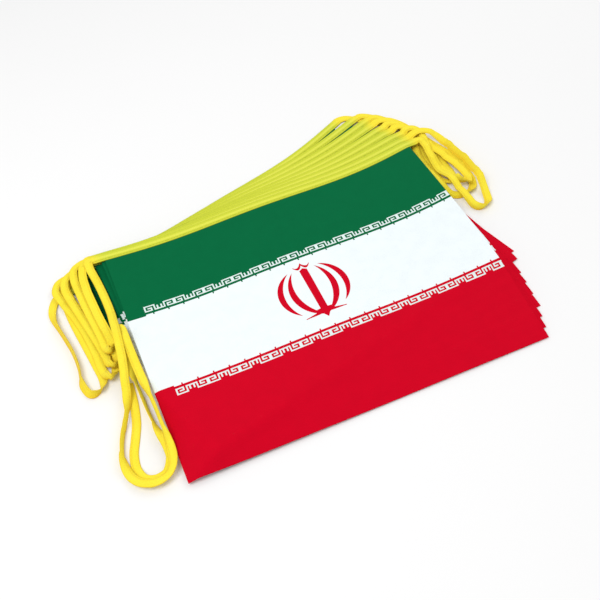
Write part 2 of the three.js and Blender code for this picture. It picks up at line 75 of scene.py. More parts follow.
# The tape's free lengths as seen from above, from the end of one flag's tape to the next flag's or to a
# loose end. Each is laid down after the flag in `after` and passes the places in `via`. `tips` are those
# where it doubles back, `stand` is the most, in degrees, that it rolls up onto its edge in its bends, and
# each row of `on_edge` is a first place, a last one, and how far it is rolled up between them.
# fmt: off
RUNS = [
    dict(start=1, end=None, side="right", after=1, tips=[], stand=25, on_edge=[],
         via=[(250, 284.5), (258, 279), (266, 272), (275, 265), (285, 256), (294, 243), (301, 228),
              (307, 212), (313, 196), (315, 180), (313, 165)]),
    dict(start=1, end=2, side="left", after=2, tips=[8], stand=85, on_edge=[(1, 6, 70)],
         via=[(-49, 196), (-53, 187), (-53, 174), (-50, 158), (-47, 142), (-46, 126), (-47, 108),
              (-43, 98.5), (-36, 98.5), (-32.5, 106), (-34, 124), (-37, 146), (-40, 168), (-41.5, 186),
              (-41.5, 198), (-38, 206)]),
    dict(start=2, end=3, side="right", after=3, tips=[9], stand=30, on_edge=[],
         via=[(264, 279.5), (271, 275), (278, 267), (286, 257), (293, 245), (298, 232), (301, 215),
              (302, 186), (301, 175), (295.5, 168.5), (290, 175), (290, 190), (291, 204), (292, 220),
              (291, 238), (287, 252), (281, 263), (274, 270.5)]),
    dict(start=3, end=4, side="left", after=4, tips=[8], stand=80, on_edge=[],
         via=[(-33, 213.5), (-42, 211), (-46, 203), (-43, 190), (-38, 173), (-34, 155), (-31.5, 135),
              (-30, 113), (-25.5, 103), (-21, 113), (-21, 130), (-25, 147), (-30, 165), (-35, 183),
              (-37.5, 200), (-34.5, 211)]),
    dict(start=4, end=5, side="right", after=5, tips=[9], stand=60, on_edge=[],
         via=[(274, 262), (282, 259), (289, 250), (294, 238), (299, 222), (305, 203), (311, 182),
              (313, 168), (310, 155), (300, 148.5), (290, 153), (286, 168), (285.5, 190), (286.5, 210),
              (290, 226), (291.5, 239), (287.5, 249), (280, 253.7)]),
    dict(start=5, end=6, side="left", after=6, tips=[8], stand=80, on_edge=[],
         via=[(-29, 213.7), (-36, 208), (-38, 198), (-35, 180), (-31, 160), (-27.5, 142), (-25, 126),
              (-24.5, 117), (-21, 112), (-17.5, 117), (-18, 132), (-22, 150), (-26, 175), (-28, 195),
              (-28.5, 206), (-26, 213)]),
    dict(start=6, end=7, side="right", after=7, tips=[8], stand=80, on_edge=[],
         via=[(284, 244.5), (291, 239), (296, 227), (300, 210), (306, 192), (310, 175), (309.5, 163),
              (305, 156), (301, 163), (297, 182), (294.5, 200), (297, 217), (298, 228), (294.5, 235.5),
              (289, 236.8)]),
    dict(start=7, end=8, side="left", after=8, tips=[8], stand=80, on_edge=[],
         via=[(-19, 218), (-26, 214), (-28.5, 204), (-28, 188), (-26.5, 170), (-24.5, 153), (-23, 138),
              (-22.3, 128), (-19.6, 122.5), (-17, 127), (-17.6, 140), (-19.5, 155), (-21, 172), (-22, 190),
              (-21, 203), (-18, 212.5)]),
    dict(start=8, end=9, side="right", after=9, tips=[10], stand=80, on_edge=[(3, 7, 45)],
         via=[(291, 227), (299, 226.5), (305, 222), (311, 212), (315, 199), (317, 186), (317.5, 171),
              (316.5, 157), (315, 144), (312, 133.5), (304.5, 128.5), (298.5, 133), (296.5, 142),
              (295, 157), (293, 176), (292.5, 195), (294, 210), (293, 216.5)]),
    dict(start=9, end=None, side="left", after=9, tips=[16, 27, 38], stand=30,
         on_edge=[(8, 12, 80), (19, 22, 70), (31, 34, 75)],
         via=[(-13, 214), (-14, 206), (-12, 190), (-10.6, 170), (-10.4, 150), (-11, 130), (-13.2, 112),
              (-17, 95), (-20.5, 80), (-24.5, 68), (-30, 58), (-34, 47), (-36, 35), (-35, 24.5),
              (-30, 16.5), (-22, 12), (-13.5, 12), (-7, 16), (-3.6, 24), (-2.8, 36), (-3.2, 50),
              (-3.6, 65), (-4.5, 80), (-5.6, 100), (-6, 118), (-6.2, 131), (-7, 137.5), (-8.8, 139.5),
              (-10.6, 137.5), (-11.2, 131), (-11.2, 118), (-10.8, 102), (-9.6, 84), (-8.9, 66), (-7, 48),
              (-5, 34), (-5.5, 24), (-11, 16.5), (-19, 14.5), (-26, 18), (-29.5, 27), (-28.5, 39),
              (-24, 51), (-20, 62), (-17.5, 75), (-16.4, 86), (-16, 96)]),
]
# fmt: on

# ---- How the cloth and the tape lie, as in the solids ----
LEVEL_END = 3  # length at each end of a run where it stays level with its flag's tape
OWN_END = 6  # length at each end of a run where the ground is its own flag's tape
BEND_FLAT = 15  # the tape lies flat in bends of this radius or more, and stands up in tighter ones
FLAT_END = 18  # length at each end of a run where it does not roll at all
FOLD_OVER = 45  # a run that rolls up further than this turns right over where it doubles back
ROLL_SPREAD = 8  # length over which a turn onto its edge is spread, each way
CLIMB = 0.45  # steepest rise of the tape over what lies below it
TAPE_GAP = 0.5  # clear height between one length of tape and what it crosses
FOOTPRINT = (-1, -0.75, -0.5, -0.25, 0, 0.25, 0.5, 0.75, 1)  # places across the tape, in half spans
TRACE_STEP = 1.5  # spacing at which a run's height is worked out
TURN_FREE = 12  # within this length of a turn, each way, the tape need not clear itself
LEDGE = 2  # a flag stays level this far past the edge of the one below it
COME_DOWN = 10  # and then comes down over this length
LEFT_SUPPORT = 12  # how far past a flag's left end its tape holds up the layers above
RIGHT_SUPPORT = 25  # and how far past its right end

# ---- Sizes of what only shows here ----
SHEET = 0.35  # the flags' cloth
RIBBON = 0.32  # one layer of the tape
SLIT_ON_FLAG = 0.36  # between the tape's two layers, with a flag's edge in it
SLIT_FREE = 0.08  # and where there is no flag
TUCK = 5  # how far a flag's edge goes into the fold
FLAG_STEP = 2.5  # spacing of the tape's cross-sections along a flag


# ---- The outlines ----
def left_end(end, turn):
    angle = math.radians(turn)
    return (end[0] - FLAG_WIDTH * math.cos(angle), end[1] - FLAG_WIDTH * math.sin(angle))


OUTLINES = [
    dict(
        tape_left=left_end(f["tape_end"], f["tape_turn"]),
        tape_right=f["tape_end"],
        hem_left=left_end(f["hem_end"], f["hem_turn"]),
        hem_right=f["hem_end"],
    )
    for f in FLAGS
]


def mix(a, b, t):
    return a + (b - a) * t


def smoothstep(x, low, high):
    t = np.clip((x - low) / (high - low), 0, 1)
    return t * t * (3 - 2 * t)


def sag(u):
    """How far the tape edge hangs in towards the flag."""
    return 7 * np.sin(np.pi * u) + 2 * np.sin(3 * np.pi * u) - np.sin(2 * np.pi * u)


def tape_edge(outline, u):
    """A point of the tape edge, the direction from there to the hem, and the hem's point."""
    hem = [mix(outline["hem_left"][k], outline["hem_right"][k], u) for k in (0, 1)]
    chord = [mix(outline["tape_left"][k], outline["tape_right"][k], u) for k in (0, 1)]
    drop = np.hypot(hem[0] - chord[0], hem[1] - chord[1])
    down = [(hem[k] - chord[k]) / drop for k in (0, 1)]
    return [chord[k] + down[k] * sag(u) for k in (0, 1)], down, hem


def tape_point(outline, u, inset):
    edge, down, _ = tape_edge(outline, u)
    return edge[0] + down[0] * inset, edge[1] + down[1] * inset


def cloth_point(outline, u, v):
    edge, down, hem = tape_edge(outline, u)
    inset = TAPE_WIDTH + GAP
    top = [edge[k] + down[k] * inset for k in (0, 1)]
    return mix(hem[0], top[0], v) + SIDE_BULGE * u * u * np.sin(np.pi * v), mix(hem[1], top[1], v)


# ---- The height of each layer ----
def outside_by(ring, x, y):
    """The distance outside a ring of straight edges, and less than 0 inside it."""
    sides = []
    for (ax, ay), (bx, by) in zip(ring, ring[1:] + ring[:1]):
        sides.append(((x - ax) * (by - ay) - (y - ay) * (bx - ax)) / math.hypot(bx - ax, by - ay))
    return np.maximum.reduce(sides)


def ring_of(outline, left=0, right=0):
    """A flag's four corners, with its tape made longer by `left` and `right`."""
    (lx, ly), (rx, ry) = outline["tape_left"], outline["tape_right"]
    return [outline["hem_left"], outline["hem_right"], (rx + right, ry), (lx - left, ly)]


def layer_height(count, x, y):
    """The height at which a layer lies over the `count` flags below it."""
    height = np.zeros(np.broadcast(x, y).shape)
    for outline in OUTLINES[:count]:
        past = outside_by(ring_of(outline, LEFT_SUPPORT, RIGHT_SUPPORT), x, y) - LEDGE
        height += (1 + np.cos(np.pi * np.clip(past / COME_DOWN, 0, 1))) / 2
    return LAYER * height


# ---- What has been laid down so far ----
class Ground:
    """Heights on a fine grid seen from above."""

    def __init__(self):
        self.cell = 1.5
        self.low = (-70, -20)
        self.count = (270, 220)  # so that it reaches 335 along X and 310 along Y
        self.heights = np.zeros((self.count[1], self.count[0]))

    def at(self, x, y):
        return self.heights[round((y - self.low[1]) / self.cell), round((x - self.low[0]) / self.cell)]

    def raise_to(self, x, y, height):
        row, column = round((y - self.low[1]) / self.cell), round((x - self.low[0]) / self.cell)
        patch = self.heights[row - 1 : row + 2, column - 1 : column + 2]
        np.maximum(patch, height, out=patch)

    def lay_flag(self, index):
        """Lays a flag, and its tape's straight lengths past both ends."""
        x = self.low[0] + self.cell * np.arange(self.count[0])[None, :]
        y = self.low[1] + self.cell * np.arange(self.count[1])[:, None]
        inside = outside_by(ring_of(OUTLINES[index]), x, y) < SIDE_BULGE
        top = layer_height(index, x, y) + CLOTH
        self.heights = np.where(inside, np.maximum(self.heights, top), self.heights)
        for start in (-LEAD, FLAG_WIDTH):
            for along in np.arange(start, start + LEAD + 0.5):
                for inset in np.arange(0, TAPE_WIDTH + 0.5):
                    px, py = tape_point(OUTLINES[index], along / FLAG_WIDTH, inset)
                    self.raise_to(px, py, float(layer_height(index, px, py)) + CLOTH)


# ---- The tape's route ----
# Half of the tape's width and height as seen from above and from the side, when it is rolled over.
def half_span(roll, width):
    return (width * abs(math.cos(roll)) + CLOTH * abs(math.sin(roll))) / 2


def half_rise(roll, width):
    return (width * abs(math.sin(roll)) + CLOTH * abs(math.cos(roll))) / 2


def tape_on_flag(number, along):
    """The middle of the tape at a distance along a flag, and the direction across it."""
    outline, u = OUTLINES[number - 1], along / FLAG_WIDTH
    ends = []
    for inset in (TAPE_WIDTH, 0):
        x, y = tape_point(outline, u, inset)
        ends.append(Vector((x, y, float(layer_height(number - 1, x, y)))))
    middle = (ends[0] + ends[1]) / 2 + Vector((0, 0, CLOTH / 2))
    return middle, (ends[1] - ends[0]).normalized()


def flag_end(number, side):
    """Where a flag's straight tape ends, and a place a little further on in the same direction."""
    stations = (-LEAD, 0) if side == "left" else (FLAG_WIDTH + LEAD, FLAG_WIDTH)
    end, before = [tape_on_flag(number, s)[0] for s in stations]
    return end, end.lerp(before, -LEVEL_END / LEAD)


def spaced_curve(stops):
    """A smooth curve through the stops, as evenly spaced points."""
    pts = np.array(stops, float)
    pts = np.vstack([2 * pts[0] - pts[1], pts, 2 * pts[-1] - pts[-2]])
    fine = []
    for i in range(1, len(pts) - 2):
        p0, p1, p2, p3 = pts[i - 1 : i + 3]
        d0, d1, d2 = [max(np.linalg.norm(b - a) ** 0.5, 1e-4) for a, b in ((p0, p1), (p1, p2), (p2, p3))]
        t1 = ((p1 - p0) / d0 - (p2 - p0) / (d0 + d1) + (p2 - p1) / d1) * d1
        t2 = ((p2 - p1) / d1 - (p3 - p1) / (d1 + d2) + (p3 - p2) / d2) * d1
        t = np.linspace(0, 1, 40, endpoint=False)[:, None]
        a = 2 * p1 - 2 * p2 + t1 + t2
        b = -3 * p1 + 3 * p2 - 2 * t1 - t2
        fine.append(p1 + t1 * t + b * t**2 + a * t**3)
    fine = np.vstack([*fine, pts[-2]])
    far = np.concatenate([[0], np.cumsum(np.linalg.norm(np.diff(fine, axis=0), axis=1))])
    count = round(far[-1] / TRACE_STEP)
    even = np.linspace(0, far[-1], count + 1)
    return np.column_stack([np.interp(even, far, fine[:, 0]), np.interp(even, far, fine[:, 1])])


def bends(route):
    """The sharpness of the bend at each point of a route seen from above."""
    last = len(route) - 1
    found = []
    for i, p in enumerate(route):
        u, v = p - route[max(i - 2, 0)], route[min(i + 2, last)] - p
        turn = abs(math.atan2(u[0] * v[1] - u[1] * v[0], u @ v))
        found.append(turn / max((np.linalg.norm(u) + np.linalg.norm(v)) / 2, TRACE_STEP))
    return np.array(found)


def smooth(values, reach):
    """Each value becomes the mean of its neighbours within `reach`."""
    n = round(reach / TRACE_STEP)
    return np.array([np.mean(values[max(i - n, 0) : i + n + 1]) for i in range(len(values))])


def footing(route, normals, rolls, widths, ground, ends, turns):
    """The height of the tape's lowest edge along a route.

    It is clear of all that is on the ground, climbs no steeper than CLIMB, and is level with its flag at
    each end in `ends`. The part past each of its `turns` also clears the part before it.
    """
    count = len(route)
    steps = np.arange(count)
    away = (steps * TRACE_STEP, (count - 1 - steps) * TRACE_STEP)

    def prints(i):
        span = half_span(rolls[i], widths[i])
        return [route[i] + normals[i] * span * s for s in FOOTPRINT]

    def needs(i):
        top = max(ground.at(*p) for p in prints(i))
        own = any(ends[k] is not None and away[k][i] < OWN_END for k in (0, 1))
        return top + TAPE_GAP if top > 0 and not own else 0

    def settle(clear):
        feet = (clear[None, :] - CLIMB * TRACE_STEP * abs(steps[:, None] - steps[None, :])).max(axis=1)
        for k in (0, 1):
            if ends[k] is not None:
                free = np.maximum(away[k] - LEVEL_END, 0)
                feet = np.maximum(np.minimum(feet, ends[k] + free * 2 * CLIMB), ends[k] - free * CLIMB)
        return feet

    def lay(feet, low, high):
        for i in range(low, high):
            for p in prints(i):
                ground.raise_to(*p, feet[i] + 2 * half_rise(rolls[i], widths[i]))

    clear = np.array([needs(i) for i in range(count)])
    margin = round(TURN_FREE / TRACE_STEP)
    for turn in turns:
        lay(settle(clear), 0, turn - margin)
        for i in range(turn + margin, count):
            clear[i] = max(clear[i], needs(i))
    feet = settle(clear)
    lay(feet, 0, count)
    return feet


def trace_run(run, ground):
    """The cross-sections of one run, from the flag that it leaves."""
    start, beyond_start = flag_end(run["start"], run["side"])
    stops = [start[:2], beyond_start[:2], *run["via"]]
    end = None
    if run["end"]:
        end, beyond_end = flag_end(run["end"], run["side"])
        stops += [beyond_end[:2], end[:2]]
    route = spaced_curve(stops)
    heights = (start.z - CLOTH / 2, end.z - CLOTH / 2 if end else None)
    if not end:
        # A loose end is laid down from its tip, so that what comes from the flag lies on top.
        route, heights = route[::-1], heights[::-1]
    last = len(route) - 1
    along = np.array([route[min(i + 1, last)] - route[max(i - 1, 0)] for i in range(last + 1)])
    along /= np.linalg.norm(along, axis=1)[:, None]
    normals = np.column_stack([-along[:, 1], along[:, 0]])

    def nearest(number):
        return int(np.linalg.norm(route - np.array(run["via"][number]), axis=1).argmin())

    turns = sorted(nearest(number) for number in run["tips"])
    steps = np.arange(last + 1)
    from_ends = [far for far, height in zip((steps, last - steps), heights) if height is not None]
    away = np.minimum.reduce(from_ends) * TRACE_STEP
    upright = np.minimum(math.radians(run["stand"]), np.arccos(1 / np.maximum(BEND_FLAT * bends(route), 1)))
    for first, final, degrees in run["on_edge"]:
        low, high = sorted((nearest(first), nearest(final)))
        upright[low:high] = np.maximum(upright[low:high], math.radians(degrees))
    rolls = upright * smoothstep(away, FLAT_END, 2 * FLAT_END)
    if run["stand"] > FOLD_OVER:
        rolls = np.where(np.searchsorted(turns, steps, side="right") % 2 == 1, np.pi - rolls, rolls)
    rolls = smooth(rolls, ROLL_SPREAD)
    widths = mix(TAPE_WIDTH, FREE_WIDTH, smoothstep(away, 0, NARROWING))
    feet = footing(route, normals, rolls, widths, ground, heights, turns)
    sections = []
    for (x, y), (nx, ny), roll, width, foot in zip(route, normals, rolls, widths, feet):
        across = Vector((nx * math.cos(roll), ny * math.cos(roll), math.sin(roll)))
        sections.append((Vector((x, y, foot + half_rise(roll, width))), across, width))
    return sections if end else sections[::-1]


def tape_sections():
    """Every cross-section of the tape: its middle, direction across it, width, and the flag it is on."""
    ground, traced = Ground(), {}
    for index in range(len(FLAGS)):
        ground.lay_flag(index)
        for run in RUNS:
            if run["after"] == index + 1:
                traced[run["start"], run["end"]] = trace_run(run, ground)
    sections = []

    def add(found, flag):
        for middle, across, width in found:
            if sections and sections[-1]["across"].dot(across) < 0:
                across = -across
            sections.append(dict(middle=middle, across=across, width=width, flag=flag))

    add(traced[1, None][::-1], 0)
    for number in range(1, len(FLAGS) + 1):
        stations = np.arange(0, FLAG_WIDTH + 1, FLAG_STEP)
        on_flag = [(*tape_on_flag(number, s), TAPE_WIDTH) for s in stations]
        add(on_flag[::-1] if number % 2 else on_flag, number)
        add(traced[number, number + 1 if number < len(FLAGS) else None], 0)
    return sections


# ---- Meshes ----
# The layout is moved so that the lowest flag lies where its solid does.
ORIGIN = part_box("flag_1")[0]
FIRST = [cloth_point(OUTLINES[0], u, v) for u in (0, 1) for v in (0, 0.5, 1)]
SHIFT = Vector((
    ORIGIN[0] / MM - min(p[0] for p in FIRST),
    ORIGIN[1] / MM - min(p[1] for p in FIRST),
    0,
))


def mesh_object(name, points, faces, material, uvs=None, floats=None, sharp=50):
    """A smooth mesh from the layout's millimetres, crisp where it bends by more than `sharp` degrees."""
    mesh = bpy.data.meshes.new(name)
    mesh.from_pydata([tuple((Vector(p) + SHIFT) * MM) for p in points], [], faces)
    if uvs is not None:
        layer = mesh.uv_layers.new(name="cloth")
        vertex_of = np.empty(len(mesh.loops), int)
        mesh.loops.foreach_get("vertex_index", vertex_of)
        layer.data.foreach_set("uv", (np.array(uvs)[vertex_of] * MM).ravel())
    for key, values in (floats or {}).items():
        mesh.attributes.new(key, "FLOAT", "POINT").data.foreach_set("value", np.array(values, float))
    mesh.polygons.foreach_set("use_smooth", [True] * len(mesh.polygons))
    mesh.set_sharp_from_angle(angle=math.radians(sharp))
    mesh.materials.append(material)
    mesh.validate()
    obj = bpy.data.objects.new(name, mesh)
    bpy.context.scene.collection.objects.link(obj)
    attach(obj, "root")
    return obj


GRID, TOP_GRID = (113, 85), (161, 121)  # points across and up a flag, and the same for the top flag
TUCK_ROWS = 4  # rows of points inside the tape
TUCK_IN = 14  # length over which a flag's cloth rises into the tape
RIPPLE = 0.22  # size of the cloth's slow waves


def ripple(x, y):
    """The slow waves that thin cloth has, the same in every layer so that none touches the next."""
    wave = np.sin(x / 31 + 0.9 * np.sin(y / 43)) * np.sin(y / 37 + 1.3) + 0.6 * np.sin(x / 17 - y / 23 + 2)
    return RIPPLE * (wave + 1.6)


def flag_object(index, material):
    """One flag: a thin sheet from its hem up to the edge that is tucked into the tape."""
    outline = OUTLINES[index]
    across, up = TOP_GRID if index == len(FLAGS) - 1 else GRID
    u = np.linspace(0, 1, across)
    mirrored = index % 2 == 1
    rows = []
    for v in np.linspace(0, 1, up):
        x, y = cloth_point(outline, u, v)
        rows.append((x, y, np.full(across, v * (FLAG_HEIGHT - TAPE_WIDTH))))
    for inset in np.linspace(TAPE_WIDTH, TAPE_WIDTH - TUCK, TUCK_ROWS):
        x, y = tape_point(outline, u, inset)
        rows.append((x, y, np.full(across, FLAG_HEIGHT - inset)))
    x, y, high = (np.array([row[k] for row in rows]) for k in range(3))
    # Inside the tape it runs midway between the ribbon's two layers.
    inside_tape = smoothstep(high, FLAG_HEIGHT - TAPE_WIDTH - TUCK_IN, FLAG_HEIGHT - TAPE_WIDTH - 1)
    held = RIBBON + (SLIT_ON_FLAG - SHEET) / 2
    z = layer_height(index, x, y) + mix(ripple(x, y), held, inside_tape)
    if index == 0:
        # The lowest flag lies flat on the floor.
        z = held * inside_tape
    count = x.size
    under = np.column_stack([x.ravel(), y.ravel(), z.ravel()])
    points = np.vstack([under, under + (0, 0, SHEET)])
    across_print = np.broadcast_to(FLAG_WIDTH * (1 - u if mirrored else u), x.shape)
    uv = np.column_stack([across_print.ravel(), high.ravel()])
    ids = np.arange(count).reshape(x.shape)
    a, b, d, e = (part.ravel() for part in (ids[:-1, :-1], ids[:-1, 1:], ids[1:, :-1], ids[1:, 1:]))
    faces = np.column_stack([a, d, e, b]).tolist()
    faces += (np.column_stack([a, b, e, d]) + count).tolist()
    rim = np.concatenate([ids[0, :-1], ids[:-1, -1], ids[-1, :0:-1], ids[:0:-1, 0]])
    after = np.roll(rim, -1)
    faces += np.column_stack([rim, after, after + count, rim + count]).tolist()
    obj = mesh_object(f"flag_{index + 1}_cloth", points, faces, material, np.vstack([uv, uv]))
    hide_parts(f"flag_{index + 1}")
    return obj


# The outline of one half of a cross-section: places across the tape from its open edge to its fold, and
# how far each stands out from the plain thickness.
PROFILE = [(-4, -0.12), (-3.8, 0), (-2.8, 0.02), (-2.3, -0.1), (-1.8, 0.02), (0, 0.1), (1.9, 0.06),
           (3.2, 0.02), (3.8, -0.05), (4, -0.2)]
EDGE = TAPE_WIDTH / 2
SLIT_DEPTH = 7.4  # how far the open slit between the two layers goes in
CREASE = 0.02  # and how far the crease at the fold does
SLIT_NARROWS = 0.6  # the slit's width at its bottom, as a share of its width at the edge
ON_FLAG_END = 12  # length past a flag's end over which the tape comes to lie as it does when it is free
SEAM = 2.3  # from the tape's middle to its row of stitches
CUP = 0.7  # how far the free tape's edges curl
SHARP = 60  # bend in degrees above which edges of the ribbon and of its stitches are crisp
TURN_OVER = 8  # half the length over which the fold changes sides, between two flags that need it


def oriented(sections):
    """Adds to each section its directions, its distances, and the side on which its fold is."""
    last = len(sections) - 1
    for i, s in enumerate(sections):
        along = (sections[min(i + 1, last)]["middle"] - sections[max(i - 1, 0)]["middle"]).normalized()
        s["out"] = s["across"].cross(along).normalized()
        s["flat"] = along.cross(s["out"]).normalized()
        s["along"] = along
    far = 0
    for i, s in enumerate(sections):
        far += (s["middle"] - sections[max(i - 1, 0)]["middle"]).length
        s["far"] = far
    side = {}
    for s in sections:
        if s["flag"] and s["flag"] not in side:
            fold = tape_on_flag(s["flag"], FLAG_WIDTH / 2)[1]
            side[s["flag"]] = 1 if s["across"].dot(fold) > 0 else -1
    on_flag = [i for i, s in enumerate(sections) if s["flag"]]
    for i, s in enumerate(sections):
        before = max((j for j in on_flag if j <= i), default=on_flag[0])
        after = min((j for j in on_flag if j >= i), default=on_flag[-1])
        s["to_flag"] = min(abs(s["far"] - sections[j]["far"]) for j in (before, after))
        one, two = side[sections[before]["flag"]], side[sections[after]["flag"]]
        middle = (sections[before]["far"] + sections[after]["far"]) / 2
        turn = float(smoothstep(s["far"], middle - TURN_OVER, middle + TURN_OVER))
        s["fold"] = one if one == two else mix(one, two, turn)
    return sections


def on_flag_share(section):
    return 1 - float(smoothstep(section["to_flag"], 1, ON_FLAG_END))


def cup_height(w, on):
    """How far the curl moves a place across the tape out of its plane."""
    return CUP * (1 - on) * (0.4 - (w / EDGE) ** 2)


def tape_object(sections, material):
    """The ribbon: one closed strip, with its fold at one edge and an open slit at the other."""
    points, uvs, over, painted_shade = [], [], [], []
    for s in sections:
        on = on_flag_share(s)
        slit = mix(SLIT_FREE, SLIT_ON_FLAG, on) / 2
        half = slit + RIBBON
        open_here = [max(CREASE, SLIT_DEPTH * max(0, -edge * s["fold"])) for edge in (-1, 1)]
        side = 1 if s["fold"] >= 0 else -1
        profile = [(w * side, rise) for w, rise in PROFILE][::side]
        top = [(w, half + rise) for w, rise in profile]
        deep_left, deep_right = -EDGE + open_here[0], EDGE - open_here[1]
        low = slit * SLIT_NARROWS
        right = [(EDGE, slit), (deep_right, low), (deep_right, -low), (EDGE, -slit)]
        left = [(-EDGE, -slit), (deep_left, -low), (deep_left, low), (-EDGE, slit)]
        ring = top + right + [(w, -t) for w, t in reversed(top)] + left
        narrow = s["width"] / TAPE_WIDTH
        for w, t in ring:
            p = s["middle"] + s["flat"] * w * narrow + s["out"] * (t + cup_height(w, on))
            points.append((p.x, p.y, max(p.z, 0)))
            uvs.append((s["far"], w * side))
            over.append(on)
            # Painted shade: where the tape stands on its edge, its lower half is darker and more orange, as
            # the inside of its loops is in shade.
            painted_shade.append(float(smoothstep(s["middle"].z - p.z, -1, FREE_WIDTH / 2)) * (1 - on))
    size = len(points) // len(sections)
    faces = []
    for i in range(len(sections) - 1):
        base = i * size
        for k in range(size):
            a, b = base + k, base + (k + 1) % size
            faces.append((a, b, b + size, a + size))
    faces.append(tuple(range(size))[::-1])
    faces.append(tuple(range(len(points) - size, len(points))))
    obj = mesh_object("tape_ribbon", points, faces, material, uvs, dict(over=over, painted_shade=painted_shade), SHARP)
    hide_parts("tape")
    return obj


STITCH = 2.2  # a stitch's length
FIRST_STITCH = 1.5  # from the tape's one tip
LAST_STITCH = 3  # and from the other
STITCH_PITCH = 3.0
STITCH_WIDTH = 0.34
STITCH_HIGH = 0.14
STITCH_SUNK = 0.1  # how far its foot lies below the ribbon's face
# One stitch's corners, as shares of its half length, half width and height, and its faces.
STITCH_CORNERS = [(-1, 0, 0), (-0.6, -1, 0.3), (-0.6, 1, 0.3), (0.6, -1, 0.3), (0.6, 1, 0.3), (1, 0, 0),
                  (-0.5, 0, 1), (0.5, 0, 1)]
STITCH_FACES = [(0, 1, 6), (0, 6, 2), (1, 3, 7, 6), (6, 7, 4, 2), (3, 5, 7), (7, 5, 4), (0, 2, 4, 5, 3, 1)]


def stitches_object(sections, material):
    """A row of small stitches beside the tape's open edge, on both faces."""
    far = np.array([s["far"] for s in sections])
    points, faces = [], []
    for start in np.arange(FIRST_STITCH, far[-1] - LAST_STITCH, STITCH_PITCH):
        i = int(np.searchsorted(far, start + STITCH / 2))
        s = sections[i]
        # There are no stitches where the fold changes sides.
        if abs(s["fold"]) < 1:
            continue
        on = on_flag_share(s)
        half = mix(SLIT_FREE, SLIT_ON_FLAG, on) / 2 + RIBBON - STITCH_SUNK
        centre = s["middle"] - s["flat"] * s["fold"] * SEAM * s["width"] / TAPE_WIDTH
        centre += s["out"] * cup_height(SEAM, on)
        for face in (1, -1):
            base = len(points)
            for length, width, rise in STITCH_CORNERS:
                p = centre + s["along"] * (length * STITCH / 2) + s["flat"] * (width * STITCH_WIDTH / 2)
                p += s["out"] * face * (half + rise * STITCH_HIGH)
                points.append((p.x, p.y, max(p.z, 0)))
            forwards = face * s["out"].cross(s["along"]).dot(s["flat"]) < 0
            for corners in STITCH_FACES:
                ids = [base + corner for corner in corners]
                faces.append(ids if forwards else ids[::-1])
    obj = mesh_object("tape_stitches", points, faces, material, sharp=SHARP)
    return obj


# ---- Materials ----
GREEN = (0, 103, 60)
RED = (207, 0, 33)
WHITE = (240, 248, 250)
FRET_LINE = (226, 240, 238)
# The ribbon where it is free, and its patches, then the painted shade of its edges, its seam and the lower
# half of its upright lengths.
YELLOW = (253, 236, 66)
YELLOW_PATCH = (251, 220, 34)
YELLOW_PAINTED_SHADE = (226, 160, 0)
# The ribbon where a flag shows through it, and its ridge there, then the painted shade along its seam and
# the painted shadow along its rim there.
YELLOW_OVER_GREEN = (208, 216, 62)
RIDGE_OVER_GREEN = (240, 240, 96)
SEAM_SHADE_OVER_GREEN = (150, 160, 30)
RIM_SHADE_OVER_GREEN = (104, 120, 20)
THREAD_DARK = (214, 204, 52)
THREAD_LIGHT = (244, 236, 96)
FLOOR_GREYS = (0.9, 0.9, 0.9, 1), (0.92, 0.92, 0.92, 1)
WEAVE_PITCH = 0.62  # of the flags' threads
RIB_PITCH = 0.7  # of the ribbon's fine ribs across it
LINE_PITCH = 1.15  # and of its lines along it


def linear(colour):
    """A colour of three levels from 0 to 255, as a shader takes it."""

    def channel(c):
        c /= 255
        return c / 12.92 if c <= 0.04045 else ((c + 0.055) / 1.055) ** 2.4

    return (*(channel(c) for c in colour), 1.0)


